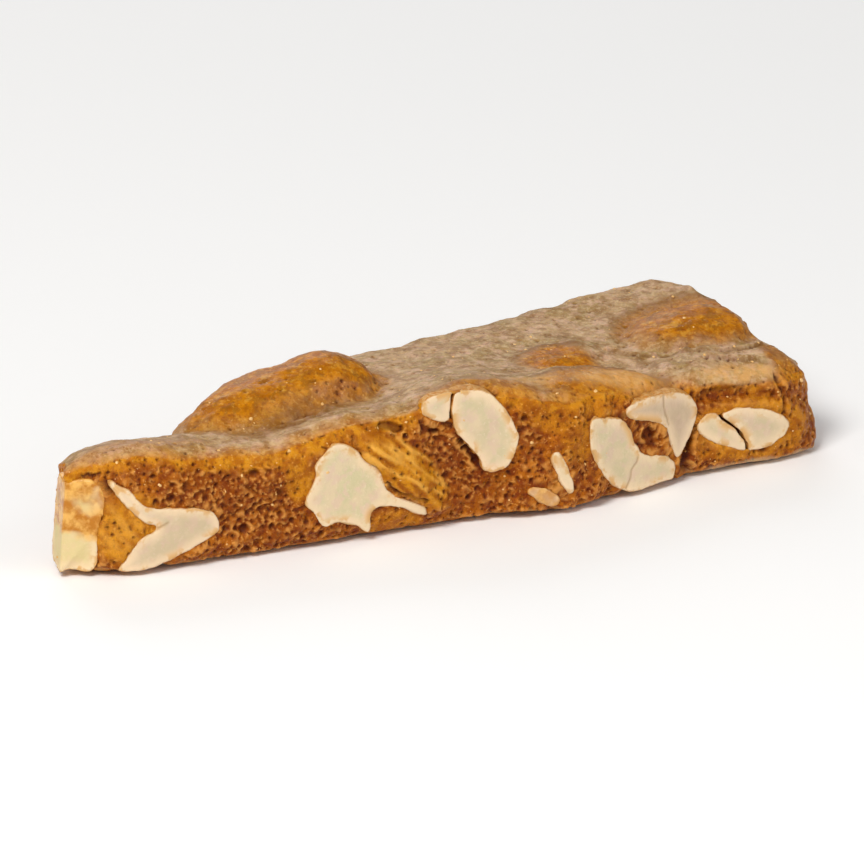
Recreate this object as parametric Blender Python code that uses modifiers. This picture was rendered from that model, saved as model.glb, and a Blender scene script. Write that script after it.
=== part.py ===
"""One broken shard of nut brittle: a caramel slab with the nuts that its broken faces cut through.

Lengths below are in millimetres. X runs along the long front break, Y from the front break to the
back one, and Z up from the flat underside that was poured on a tray.
"""

import math

import bmesh
import bpy
from mathutils import Vector, noise
from mathutils.geometry import interpolate_bezier

MM = 0.001

# The plan of the shard, at its underside. Each break is listed from left to right.
FRONT_BREAK = [
    (0, 0), (3, -1.7), (6.5, -2.9), (26, -3.2), (45, -2.8), (51, -3.6), (56, -3.9),
    (60, -2.6), (66, -1.2), (72, 0.8), (82, 1.0), (85.5, 2.2),
]
BACK_BREAK = [
    (1.0, 4.6), (6, 6.6), (12, 7.4), (17, 8.4), (22, 12.6), (28, 18.2), (36, 20.4), (44, 21.6),
    (54, 24), (62, 25.6), (70, 27.8), (76, 29.4), (80.5, 29.2), (83, 26.8),
]
RIGHT_END = [(85.4, 22.5), (86.0, 17), (85.7, 11.5), (86.5, 6)]

# Thickness of the slab along X, beside the front break and beside the back one.
FRONT_THICKNESS = [
    (0, 12.8), (7, 13.8), (14, 12.8), (22, 12.0), (31, 13.7), (38, 13.8), (44, 14.8), (49, 14.4),
    (55, 12.8), (62, 11.2), (70, 10.4), (78, 9.4), (87, 10.0),
]
BACK_THICKNESS = [
    (0, 11.6), (12, 11.2), (22, 11.6), (44, 11.6), (60, 11.8), (74, 11.9), (82, 12.3), (87, 11.0),
]

# Lumps on the poured top where a whole nut lies just under it: centre, half sizes, turn, height.
LUMPS = [
    {"at": (27.0, 9.6), "half": (11.6, 6.0), "turn": 8, "height": 3.3},
    {"at": (32.6, 9.8), "half": (6.8, 5.8), "turn": 8, "height": 4.1},
    {"at": (77.4, 14.2), "half": (7.2, 5.6), "turn": 10, "height": 2.3},
    {"at": (60.5, 1.2), "half": (8.2, 5.0), "turn": 6, "height": 1.5},
    {"at": (77.0, 5.0), "half": (8.8, 4.6), "turn": 8, "height": 1.6},
    {"at": (61.5, 11.5), "half": (5.4, 4.0), "turn": 20, "height": 0.9},
    {"at": (45.0, -1.0), "half": (10.0, 6.0), "turn": 0, "height": 0.8},
    {"at": (9.0, 2.0), "half": (8.0, 4.2), "turn": 0, "height": 0.8},
]
# Swellings of the front break over kernels that lie just behind it: centre as (x, height).
FRONT_SWELLS = [
    {"at": (36.6, 6.8), "half": (7.0, 2.3), "turn": -44, "height": 1.0},
    {"at": (20.0, 8.6), "half": (5.0, 2.6), "turn": 10, "height": 0.6},
    {"at": (78.6, 5.0), "half": (7.4, 3.4), "turn": -4, "height": 0.7},
]
LUMP_STEEPNESS = 0.65  # 0.5 gives an ellipsoid with upright sides, 1 a flat-footed mound
POURED_WAVE = 0.35  # slow rise and fall of the poured top
WAVE_LENGTH = 8.5

# Craggy relief of the broken faces, as (length of a crag, how far it stands out or in).
CRAGS = [(8.5, 0.85), (3.6, 0.45)]
END_FLARE = 2.8  # the right end leans outwards towards its foot
FOOT_ROUND = 0.3  # rounding where the underside meets a broken face
OUTLINE_GAIN = 0.35  # what the mesh cells round off the outline, added back

BLOCK_HEIGHT = 12  # height of the block that is meshed before it takes the slab's thickness
SLAB_CELL = 1.6  # mesh cell of the slab
SLAB_KEEP = 0.62  # share of the slab's faces kept where it is flat enough to do without
NUT_CELL = 0.32
ROUND_RUNS = 4  # straight runs between two points of a kernel's outline
NUT_FACES_PER_MM = 36  # faces of a kernel for each millimetre of its longest side
NUT_SMOOTHING = 3
NUT_INSET = 0.2  # what the mesh cells add to a kernel all round, taken off again
DOME_REACH = 2.2  # how far in from its outline a kernel reaches its full depth
DOME_EDGE = 0.4  # share of that depth that it has at the outline itself
SHARP_ANGLE = 40  # degrees, above which an edge is shaded sharp
WELD = 0.01  # points this close are joined
SCRAP_WELD = 0.002
UNDERSIDE_SNAP = 0.05  # points this close to the underside are laid flat on it
GAP = 0.3  # clearance between the slab and each nut
PROUD = 0.5  # how far a cut nut stands out of the broken face
# The share of a normal that must lie along a direction for its point to belong to the face there.
FACES_FRONT = 0.5
FACES_END = 0.3
FACES_OUT = 0.9
FACES_SIDEWAYS = 0.77  # from here on the full relief of a broken face applies
END_BREAK = (-1.3, 0, 0)  # a point of the short left end, which broke through the corner nut
END_BREAK_FACING = (-1, 0.2, 0.07)
POCKET_REACH = 4.0  # how far a pocket's cutter runs out through the broken face

# Each nut's cut face as a round line through points (x, height), seen square to the break. "deep"
# is how far the kernel runs to each side of its middle, "set_in" moves that middle inwards, and
# "end_cut" breaks it off at the left end too.
FRONT_NUTS = {
    "nut_corner": {
        "outline": [
            (-4.3, 11.1), (-0.2, 10.7), (2.3, 11), (3.4, 8.6), (2.7, 4.9), (2.4, 0.9), (-0.2, 0.7),
            (-4.3, 1.1),
        ],
        "deep": 3.0, "set_in": 1.4, "end_cut": True,
    },
    "nut_corner_pair": {
        "outline": [
            (3.7, 11.1), (4.6, 10.3), (5.7, 9.8), (7.4, 7.9), (14.7, 6.5), (15.9, 4.5), (15.5, 3.5),
            (8.7, 0.7), (4.2, 0.6), (4.7, 1.6), (6.5, 4.3), (8.7, 5), (9.2, 5.2), (7, 5.8),
            (3.4, 10.1),
        ],
        "deep": 2.4,
    },
    "nut_star": {
        "outline": [
            (28.9, 11.8), (31.5, 10.5), (32.3, 9.3), (34.1, 8), (35.1, 5.4), (39.3, 3), (39.4, 1.7),
            (35.4, 3.4), (33.2, 3.3), (33.1, 1.5), (32.5, 0.9), (31, 2), (28.9, 2.6), (27.4, 2.3),
            (25.9, 4.5), (25.1, 5.3), (26.4, 8.3), (26.3, 9.5),
        ],
        "deep": 3.0,
    },
    "nut_high_chip": {
        "outline": [
            (38.8, 14.8), (41.1, 15.5), (42.5, 15.3), (42.4, 13.8), (42.4, 11.9), (38.7, 13),
        ],
        "deep": 2.0,
    },
    "nut_high": {
        "outline": [
            (42.2, 14.8), (42.9, 15.4), (46.6, 14.7), (49.8, 9.9), (49.5, 7.7), (48.4, 5.9),
            (45.9, 5.7), (45.1, 7.5), (42.3, 11.2),
        ],
        "deep": 3.0,
    },
    "nut_sliver": {
        "outline": [
            (53.1, 6.7), (53.6, 7.5), (54.4, 7.2), (55.3, 5.3), (56, 3), (55.7, 2), (54.9, 2.3),
            (53.7, 4.3),
        ],
        "deep": 1.8,
    },
    "nut_low_flake": {
        "outline": [
            (50.4, 3.2), (51.2, 3.8), (52.6, 3.4), (54.5, 1.9), (53.7, 0.9), (52, 1.5), (50.9, 2.4),
        ],
        "deep": 1.6,
    },
    "nut_half_lower": {
        "outline": [
            (57.9, 9.9), (60.2, 9.8), (62.7, 8.8), (64.7, 4.9), (67.6, 4), (69.3, 2.4), (68.8, 0.6),
            (67.8, 0.6), (62.2, 0.8), (58.3, 5.2),
        ],
        "deep": 3.0,
    },
    "nut_half_upper": {
        "outline": [
            (62.8, 10.5), (68.8, 10.7), (71.5, 9.3), (72.3, 7.3), (69.6, 2.8), (68.7, 3.3),
            (67.1, 7.1), (62.6, 8.8),
        ],
        "deep": 2.8,
    },
    "nut_right_chip": {
        "outline": [
            (71.8, 5.8), (73.1, 7.2), (74.1, 7.1), (77.8, 3.9), (78.2, 2), (72.7, 4.2),
        ],
        "deep": 2.0,
    },
    "nut_right": {
        "outline": [
            (74.7, 6.9), (77.1, 7.3), (80.6, 6.5), (83, 4.4), (80.8, 2.2), (77.8, 2), (77.7, 3),
            (76.4, 4.9), (74.8, 6.2),
        ],
        "deep": 2.6,
    },
}
BACK_NUTS = {
    "nut_back_left": {
        "outline": [
            (31.2, 9.2), (34.6, 10), (40.2, 5.2), (39.2, 2.8), (35.6, 3.9), (32.2, 6.6),
        ],
        "deep": 3.0,
    },
    "nut_back_middle": {
        "outline": [
            (51.3, 3.4), (52.6, 7.2), (57.2, 8.9), (61.2, 6.2), (61.2, 4.6), (60, 4.1), (58.6, 4.6),
            (55.4, 3.6), (53.8, 2.4), (52.2, 2.3),
        ],
        "deep": 3.0,
    },
    "nut_back_right": {
        "outline": [
            (68.2, 8.8), (71.4, 9.8), (75.4, 7.2), (76, 3.7), (73.4, 4.8), (68.4, 7.8),
        ],
        "deep": 2.6,
    },
}
# Where two pieces of one kernel lie side by side, the first is cut back from the second.
CRACKS = [
    ("nut_corner_pair", "nut_corner"),
    ("nut_high_chip", "nut_high"),
    ("nut_half_upper", "nut_half_lower"),
    ("nut_right_chip", "nut_right"),
    ("nut_low_flake", "nut_sliver"),
]

CARAMEL = {"name": "caramel", "colour": (0.40, 0.17, 0.03), "roughness": 0.42}
KERNEL = {"name": "kernel", "colour": (0.74, 0.58, 0.38), "roughness": 0.55}


def clear_scene():
    for thing in list(bpy.data.objects):
        bpy.data.objects.remove(thing, do_unlink=True)


def collection(name):
    made = bpy.data.collections.new(name)
    bpy.context.scene.collection.children.link(made)
    return made


def material(finish):
    made = bpy.data.materials.new(finish["name"])
    made.use_nodes = True
    shader = made.node_tree.nodes["Principled BSDF"]
    shader.inputs["Base Color"].default_value = (*finish["colour"], 1)
    shader.inputs["Roughness"].default_value = finish["roughness"]
    shader.inputs["Metallic"].default_value = 0
    return made


def along(stations, x):
    """The value at x of a line through (x, value) stations."""
    if x <= stations[0][0]:
        return stations[0][1]
    for (x0, v0), (x1, v1) in zip(stations, stations[1:]):
        if x <= x1:
            return v0 + (v1 - v0) * (x - x0) / (x1 - x0)
    return stations[-1][1]


def lump_rise(lumps, x, y):
    """How far the lumps of a face lift it at a point of that face."""
    rise = 0
    for lump in lumps:
        turn = math.radians(lump["turn"])
        dx, dy = x - lump["at"][0], y - lump["at"][1]
        across = (dx * math.cos(turn) + dy * math.sin(turn)) / lump["half"][0]
        over = (dy * math.cos(turn) - dx * math.sin(turn)) / lump["half"][1]
        inside = max(0, 1 - across * across - over * over)
        rise = max(rise, lump["height"] * inside ** LUMP_STEEPNESS)
    return rise


def slab_height(x, y):
    """Height of the poured top above the underside."""
    front, back = along(FRONT_BREAK, x), along(BACK_BREAK, x)
    share = min(1, max(0, (y - front) / max(1, back - front)))
    flat = along(FRONT_THICKNESS, x) * (1 - share) + along(BACK_THICKNESS, x) * share
    wave = POURED_WAVE * noise.noise(Vector((x, y, 0)) / WAVE_LENGTH)
    return flat + wave + lump_rise(LUMPS, x, y)


def crag(point):
    """How far a broken face stands out at a point, in millimetres."""
    return sum(depth * noise.noise(point / length + Vector((length, 0, 0))) for length, depth in CRAGS)


def evaluated_copy(thing, name, target):
    """A mesh object of what the modifiers and the bevel of thing make, in its place. thing is removed."""
    bpy.context.view_layer.update()
    graph = bpy.context.evaluated_depsgraph_get()
    mesh = bpy.data.meshes.new_from_object(thing.evaluated_get(graph))
    mesh.name = name
    place = thing.matrix_world.copy()
    bpy.data.objects.remove(thing, do_unlink=True)
    made = bpy.data.objects.new(name, mesh)
    made.matrix_world = place
    target.objects.link(made)
    return made


def weld(thing):
    """Joins a curve's caps to its sides."""
    cage = bmesh.new()
    cage.from_mesh(thing.data)
    bmesh.ops.remove_doubles(cage, verts=cage.verts, dist=WELD * MM)
    bmesh.ops.recalc_face_normals(cage, faces=cage.faces)
    cage.to_mesh(thing.data)
    cage.free()


def add_remesh(thing, cell):
    remesh = thing.modifiers.new("Remesh", "REMESH")
    remesh.mode = "VOXEL"
    remesh.voxel_size = cell * MM
    remesh.adaptivity = 0


def raise_outline(name, outline, half_thickness, target):
    """An outline as a 2D curve, raised to a block on both sides of its plane."""
    plan = bpy.data.curves.new(name, "CURVE")
    plan.dimensions = "2D"
    plan.fill_mode = "BOTH"
    plan.extrude = half_thickness * MM
    line = plan.splines.new("POLY")
    line.points.add(len(outline) - 1)
    for point, (x, y) in zip(line.points, outline):
        point.co = (x * MM, y * MM, 0, 1)
    line.use_cyclic_u = True
    block = bpy.data.objects.new(name, plan)
    target.objects.link(block)
    block = evaluated_copy(block, name, target)
    weld(block)
    return block


def stand_out(x, y, height, side, up):
    """How far a point of a broken face moves outwards, where side is the way it faces."""
    out = OUTLINE_GAIN + crag(Vector((x, y, height)))
    if side.y < -FACES_FRONT:
        out += lump_rise(FRONT_SWELLS, x, height)
    if side.x > FACES_END:
        out += END_FLARE * (0.5 - up) * side.x
    foot = max(0, 1 - height / (2 * FOOT_ROUND))
    return out - FOOT_ROUND * foot ** 2


def shape_slab(slab):
    """Gives the remeshed block its thickness, its lumps and its craggy broken faces."""
    mesh = slab.data
    mesh.update()
    normals = [vertex.normal.copy() for vertex in mesh.vertices]
    for vertex, normal in zip(mesh.vertices, normals):
        x, y, z = vertex.co / MM
        up = min(1, max(0, z / BLOCK_HEIGHT + 0.5))
        height = up * slab_height(x, y)
        side = Vector((normal.x, normal.y))
        upright = min(1, side.length / FACES_SIDEWAYS)
        if upright > 0:
            side.normalize()
            step = side * stand_out(x, y, height, side, up) * upright
            x += step.x
            y += step.y
        vertex.co = Vector((x, y, height)) * MM
    mesh.update()


def make_slab(parts):
    plan = FRONT_BREAK + list(reversed(RIGHT_END)) + list(reversed(BACK_BREAK))
    slab = raise_outline("brittle_slab", plan, BLOCK_HEIGHT / 2, parts)
    add_remesh(slab, SLAB_CELL)
    slab = evaluated_copy(slab, "brittle_slab", parts)
    shape_slab(slab)
    thin = slab.modifiers.new("Thin out", "DECIMATE")
    thin.ratio = SLAB_KEEP
    slab = evaluated_copy(slab, "brittle_slab", parts)
    for vertex in slab.data.vertices:
        if vertex.co.z < UNDERSIDE_SNAP * MM:
            vertex.co.z = 0
    return slab


def round_line(corners):
    """A closed round line through some points, as short straight runs."""
    corners = [Vector(corner) for corner in corners]
    before, after = corners[-1:] + corners[:-1], corners[1:] + corners[:1]
    aims = [(ahead - behind).normalized() for behind, ahead in zip(before, after)]
    line = []
    for start, end, leaving, arriving in zip(corners, after, aims, aims[1:] + aims[:1]):
        reach = (end - start).length / 3
        handles = start + leaving * reach, end - arriving * reach
        line += interpolate_bezier(start, *handles, end, ROUND_RUNS + 1)[:-1]
    return [(point.x, point.y) for point in line]


def edge_distance(outline, x, z):
    """How far a point lies from the nearest edge of an outline."""
    nearest = math.inf
    for (x0, z0), (x1, z1) in zip(outline, outline[1:] + outline[:1]):
        dx, dz = x1 - x0, z1 - z0
        share = min(1, max(0, ((x - x0) * dx + (z - z0) * dz) / (dx * dx + dz * dz)))
        nearest = min(nearest, math.hypot(x - x0 - share * dx, z - z0 - share * dz))
    return nearest


def make_nut(name, nut, parts):
    """The piece of kernel, upright in the plane y = 0 with its cut face towards -Y."""
    outline = round_line(nut["outline"])
    kernel = raise_outline(name, outline, nut["deep"], parts)
    add_remesh(kernel, NUT_CELL)
    smooth = kernel.modifiers.new("Smooth", "SMOOTH")
    smooth.factor = 0.5
    smooth.iterations = NUT_SMOOTHING
    kernel = evaluated_copy(kernel, name, parts)
    normals = [vertex.normal.copy() for vertex in kernel.data.vertices]
    for vertex, normal in zip(kernel.data.vertices, normals):
        x, z, y = vertex.co / MM - normal * NUT_INSET
        inside = min(1, edge_distance(outline, x, z) / DOME_REACH)
        bulge = DOME_EDGE + (1 - DOME_EDGE) * math.sqrt(1 - (1 - inside) ** 2)
        vertex.co = Vector((x, nut.get("set_in", 0) - y * bulge, z)) * MM
    cut_flat(kernel, (0, 0, 0), (0, -1, 0))
    if nut.get("end_cut"):
        cut_flat(kernel, Vector(END_BREAK) * MM, END_BREAK_FACING)
    thin = kernel.modifiers.new("Thin out", "DECIMATE")
    thin.ratio = min(1, NUT_FACES_PER_MM * max(kernel.dimensions) / MM / (2 * len(kernel.data.polygons)))
    return evaluated_copy(kernel, name, parts)


def cut_flat(kernel, point, facing):
    """Cuts the kernel at a plane where the slab broke, and closes the cut."""
    cage = bmesh.new()
    cage.from_mesh(kernel.data)
    everything = cage.verts[:] + cage.edges[:] + cage.faces[:]
    cut = bmesh.ops.bisect_plane(
        cage, geom=everything, plane_co=point, plane_no=facing, clear_outer=True
    )
    rim = [piece for piece in cut["geom_cut"] if isinstance(piece, bmesh.types.BMEdge)]
    bmesh.ops.triangle_fill(cage, edges=rim, use_beauty=True)
    bmesh.ops.recalc_face_normals(cage, faces=cage.faces)
    cage.to_mesh(kernel.data)
    cage.free()


def set_in_break(kernel, break_line, inwards):
    """Moves a kernel from the plane y = 0 to a broken face, following the face's line."""
    for vertex in kernel.data.vertices:
        x = vertex.co.x / MM
        face = along(break_line, x) - inwards * PROUD
        vertex.co.y = face * MM + inwards * vertex.co.y
    if inwards < 0:
        kernel.data.flip_normals()
    kernel.data.update()


def grown(thing, name, target, by):
    """A copy of a mesh object, moved out along its normals."""
    mesh = thing.data.copy()
    mesh.update()
    normals = [vertex.normal.copy() for vertex in mesh.vertices]
    for vertex, normal in zip(mesh.vertices, normals):
        vertex.co += normal * by * MM
    made = bpy.data.objects.new(name, mesh)
    target.objects.link(made)
    made.hide_render = True
    made.display_type = "WIRE"
    return made


def pocket(kernel, open_sides, cutters):
    """The cutter of a kernel's pocket, which runs out through the broken faces on its open sides."""
    cutter = grown(kernel, kernel.name + "_pocket", cutters, GAP)
    for side in open_sides:
        rim = set()
        for polygon in kernel.data.polygons:
            if polygon.normal.dot(side) > FACES_OUT:
                rim.update(polygon.vertices)
        for index in rim:
            cutter.data.vertices[index].co += side * POCKET_REACH * MM
    return cutter


def cut(thing, cutter, name, target):
    """Boolean difference, applied."""
    difference = thing.modifiers.new("Cut", "BOOLEAN")
    difference.operation = "DIFFERENCE"
    difference.solver = "EXACT"
    if isinstance(cutter, bpy.types.Collection):
        difference.operand_type = "COLLECTION"
        difference.collection = cutter
    else:
        difference.object = cutter
    return evaluated_copy(thing, name, target)


def keep_largest(thing):
    """Drops loose scraps that a cut leaves beside the main body."""
    cage = bmesh.new()
    cage.from_mesh(thing.data)
    bmesh.ops.remove_doubles(cage, verts=cage.verts, dist=SCRAP_WELD * MM)
    left, bodies = set(cage.verts), []
    while left:
        body, edge = set(), [left.pop()]
        while edge:
            vertex = edge.pop()
            body.add(vertex)
            for link in vertex.link_edges:
                other = link.other_vert(vertex)
                if other in left:
                    left.remove(other)
                    edge.append(other)
        bodies.append(body)
    bodies.sort(key=len)
    for body in bodies[:-1]:
        bmesh.ops.delete(cage, geom=list(body), context="VERTS")
    cage.to_mesh(thing.data)
    cage.free()


def finish(thing, paint):
    thing.data.materials.clear()
    thing.data.materials.append(paint)
    thing.data.shade_smooth()
    thing.data.set_sharp_from_angle(angle=math.radians(SHARP_ANGLE))


def centre_on_underside(pieces):
    """Moves every piece so that the origin is the middle of the underside of the whole."""
    corners = [vertex.co for piece in pieces for vertex in piece.data.vertices]
    middle_x = (min(c.x for c in corners) + max(c.x for c in corners)) / 2
    middle_y = (min(c.y for c in corners) + max(c.y for c in corners)) / 2
    for piece in pieces:
        for vertex in piece.data.vertices:
            vertex.co.x -= middle_x
            vertex.co.y -= middle_y
    return middle_x, middle_y


def main():
    clear_scene()
    parts = collection("brittle")
    cutters = collection("cutters")
    nuts = {}
    for name, nut in FRONT_NUTS.items():
        nuts[name] = make_nut(name, nut, parts)
        set_in_break(nuts[name], FRONT_BREAK, 1)
    for name, nut in BACK_NUTS.items():
        nuts[name] = make_nut(name, nut, parts)
        set_in_break(nuts[name], BACK_BREAK, -1)
    for chip, neighbour in CRACKS:
        knife = grown(nuts[neighbour], "knife", cutters, GAP)
        nuts[chip] = cut(nuts[chip], knife, chip, parts)
        bpy.data.objects.remove(knife, do_unlink=True)
        keep_largest(nuts[chip])
    for name in FRONT_NUTS:
        open_sides = [Vector((0, -1, 0))]
        if FRONT_NUTS[name].get("end_cut"):
            open_sides.append(Vector(END_BREAK_FACING).normalized())
        pocket(nuts[name], open_sides, cutters)
    for name in BACK_NUTS:
        pocket(nuts[name], [Vector((0, 1, 0))], cutters)
    slab = make_slab(parts)
    slab = cut(slab, cutters, "brittle_slab", parts)
    keep_largest(slab)
    caramel, kernel = material(CARAMEL), material(KERNEL)
    finish(slab, caramel)
    for nut in nuts.values():
        finish(nut, kernel)
    return centre_on_underside([slab, *nuts.values()])


main()
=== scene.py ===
import math
import random
from types import SimpleNamespace

import bmesh
import bpy
import numpy as np
from mathutils import Matrix, Vector, kdtree, noise
from mathutils.bvhtree import BVHTree


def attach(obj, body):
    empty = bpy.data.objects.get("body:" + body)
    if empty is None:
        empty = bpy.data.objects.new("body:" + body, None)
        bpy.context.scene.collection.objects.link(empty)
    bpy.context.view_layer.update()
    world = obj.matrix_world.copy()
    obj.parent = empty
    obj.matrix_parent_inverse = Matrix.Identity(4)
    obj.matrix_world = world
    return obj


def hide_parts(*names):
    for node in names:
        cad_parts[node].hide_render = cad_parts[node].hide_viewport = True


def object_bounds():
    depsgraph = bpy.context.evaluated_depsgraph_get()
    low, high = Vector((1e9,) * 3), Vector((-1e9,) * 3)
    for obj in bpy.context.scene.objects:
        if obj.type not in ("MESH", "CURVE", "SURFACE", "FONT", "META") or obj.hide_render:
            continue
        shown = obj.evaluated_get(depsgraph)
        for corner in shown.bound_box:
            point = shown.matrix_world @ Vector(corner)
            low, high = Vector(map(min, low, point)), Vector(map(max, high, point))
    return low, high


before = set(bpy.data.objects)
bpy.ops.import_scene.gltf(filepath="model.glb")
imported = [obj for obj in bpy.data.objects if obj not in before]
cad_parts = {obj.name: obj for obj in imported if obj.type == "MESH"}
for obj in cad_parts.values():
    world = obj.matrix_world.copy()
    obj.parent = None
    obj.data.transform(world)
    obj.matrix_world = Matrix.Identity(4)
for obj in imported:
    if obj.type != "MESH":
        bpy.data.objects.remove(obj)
cadLow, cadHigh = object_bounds()

mm = 0.001
weldWithin = 0.002  # mm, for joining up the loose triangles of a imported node
# Places on the shard are given in mm from the front left corner of its plan: x along the front
# break, y towards the back break, z up.
planCorner = np.array((-43.4, -12.7, 0))


def readPoints(mesh):
    flat = np.empty(len(mesh.vertices) * 3, dtype=np.float32)
    mesh.vertices.foreach_get("co", flat)
    return flat.reshape(-1, 3).astype(np.float64) / mm - planCorner


def writePoints(mesh, points):
    mesh.vertices.foreach_set("co", ((points + planCorner) * mm).astype(np.float32).ravel())
    mesh.update()


def readNormals(mesh):
    flat = np.empty(len(mesh.vertices) * 3, dtype=np.float32)
    mesh.vertices.foreach_get("normal", flat)
    return flat.reshape(-1, 3).astype(np.float64)


def readLinks(mesh):
    flat = np.empty(len(mesh.edges) * 2, dtype=np.int32)
    mesh.edges.foreach_get("vertices", flat)
    return flat.reshape(-1, 2)


def writeMask(mesh, name, values):
    layer = mesh.attributes.new(name, "FLOAT", "POINT")
    layer.data.foreach_set("value", np.clip(values, 0, 1).astype(np.float32))


def neighbourMean(values, links):
    a, b = links.T
    size = len(values)
    count = np.bincount(links.ravel(), minlength=size)
    total = [np.bincount(a, column[b], size) + np.bincount(b, column[a], size) for column in values.T]
    return np.stack(total, 1) / np.maximum(count, 1)[:, None]


def rounded(points, links, rounds, shrink=False):
    # evens out the surface; each round pulls in and pushes back so that the body keeps its size
    steps = (0.5,) if shrink else (0.55, -0.575)
    for turn in range(rounds):
        for pull in steps:
            points = points + pull * (neighbourMean(points, links) - points)
    return points


def ease(values, low, high):
    share = np.clip((values - low) / (high - low), 0, 1)
    return share * share * (3 - 2 * share)


def blobs(points, size, seed):
    # smooth noise from about -1 to 1, with blobs of that size in mm; each seed looks elsewhere
    shift = Vector((seed * 7.3, seed * 3.1, seed * 11.7))
    return np.array([noise.noise(Vector(point) / size + shift) for point in points])


def spotMask(spots, u, v, softness=0.3):
    # how far each point lies inside the nearest of some ovals: 1 in the middle, 0 outside
    mask = np.zeros(len(u))
    for spot in spots:
        turn = math.radians(spot["turn"])
        du, dv = u - spot["at"][0], v - spot["at"][1]
        across = (du * math.cos(turn) + dv * math.sin(turn)) / spot["half"][0]
        over = (dv * math.cos(turn) - du * math.sin(turn)) / spot["half"][1]
        inside = 1 - np.sqrt(across ** 2 + over ** 2)
        mask = np.maximum(mask, spot["strength"] * ease(inside, 0, softness))
    return mask


def lineNearness(u, v, line, half=None):
    # 1 on a line, 0 beyond its half width, which is the third number of each of its points
    nearness = np.zeros(len(u))
    for start, end in zip(line, line[1:]):
        du, dv = end[0] - start[0], end[1] - start[1]
        share = np.clip(((u - start[0]) * du + (v - start[1]) * dv) / (du * du + dv * dv), 0, 1)
        distance = np.hypot(u - start[0] - share * du, v - start[1] - share * dv)
        width = half or start[2] + share * (end[2] - start[2])
        nearness = np.maximum(nearness, 1 - distance / width)
    return nearness


def evaluated(thing):
    bpy.context.view_layer.update()
    graph = bpy.context.evaluated_depsgraph_get()
    return bpy.data.meshes.new_from_object(thing.evaluated_get(graph))


def mergedCopy(node):
    shape = bmesh.new()
    shape.from_mesh(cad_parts[node].data)
    bmesh.ops.remove_doubles(shape, verts=shape.verts, dist=weldWithin * mm)
    mesh = bpy.data.meshes.new(node + "Fine")
    shape.to_mesh(mesh)
    shape.free()
    return mesh


def remeshed(mesh, cell):
    carrier = bpy.data.objects.new("carrier", mesh)
    bpy.context.scene.collection.objects.link(carrier)
    fine = carrier.modifiers.new("Fine cells", "REMESH")
    fine.mode = "VOXEL"
    fine.voxel_size = cell * mm
    made = evaluated(carrier)
    bpy.data.objects.remove(carrier, do_unlink=True)
    return made


def thinned(mesh, triangles):
    now = sum(len(face.vertices) - 2 for face in mesh.polygons)
    if now <= triangles:
        return mesh
    carrier = bpy.data.objects.new("carrier", mesh)
    bpy.context.scene.collection.objects.link(carrier)
    fewer = carrier.modifiers.new("Fewer faces", "DECIMATE")
    fewer.ratio = triangles / now
    made = evaluated(carrier)
    bpy.data.objects.remove(carrier, do_unlink=True)
    return made


def addPiece(name, mesh, paint, node=None):
    mesh.name = name
    mesh.materials.clear()
    mesh.materials.append(paint)
    mesh.shade_smooth()
    piece = bpy.data.objects.new(name, mesh)
    bpy.context.scene.collection.objects.link(piece)
    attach(piece, "root")
    if node:
        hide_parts(node)
    return piece


def linear(red, green, blue):
    # a colour read off as 0 to 255 becomes the shader's own
    def channel(value):
        value /= 255
        return value / 12.92 if value <= 0.04045 else ((value + 0.055) / 1.055) ** 2.4
    return (channel(red), channel(green), channel(blue), 1)


def addNode(tree, kind, inputs=None, **settings):
    made = tree.nodes.new(kind)
    for name, value in settings.items():
        setattr(made, name, value)
    for key, value in (inputs or {}).items():
        if isinstance(value, bpy.types.NodeSocket):
            tree.links.new(value, made.inputs[key])
        else:
            made.inputs[key].default_value = value
    return made


def mask(tree, name):
    return addNode(tree, "ShaderNodeAttribute", attribute_name=name).outputs["Fac"]


def grain(tree, place, scale, detail=3.0, roughness=0.55):
    inputs = {"Vector": place, "Scale": scale, "Detail": detail, "Roughness": roughness}
    return addNode(tree, "ShaderNodeTexNoise", inputs).outputs["Fac"]


def between(tree, value, low, high, start=0.0, end=1.0):
    inputs = {"Value": value, "From Min": low, "From Max": high, "To Min": start, "To Max": end}
    made = addNode(tree, "ShaderNodeMapRange", inputs, interpolation_type="SMOOTHSTEP")
    return made.outputs["Result"]


def times(tree, a, b):
    made = addNode(tree, "ShaderNodeMath", operation="MULTIPLY", use_clamp=True)
    for socket, value in zip(made.inputs, (a, b)):
        if isinstance(value, bpy.types.NodeSocket):
            tree.links.new(value, socket)
        else:
            socket.default_value = value
    return made.outputs[0]


def mixed(tree, share, first, second):
    made = addNode(tree, "ShaderNodeMix", data_type="RGBA")
    for socket, value in zip((made.inputs[0], made.inputs[6], made.inputs[7]), (share, first, second)):
        if isinstance(value, bpy.types.NodeSocket):
            tree.links.new(value, socket)
        else:
            socket.default_value = value
    return made.outputs[2]


def newPaint(name):
    paint = bpy.data.materials.new(name)
    paint.use_nodes = True
    tree = paint.node_tree
    shader = tree.nodes["Principled BSDF"]
    coords = addNode(tree, "ShaderNodeTexCoord").outputs["Object"]
    inMm = {"Vector": coords, "Scale": (1 / mm, 1 / mm, 1 / mm)}
    place = addNode(tree, "ShaderNodeMapping", inMm).outputs[0]
    return paint, tree, shader, place


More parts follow.
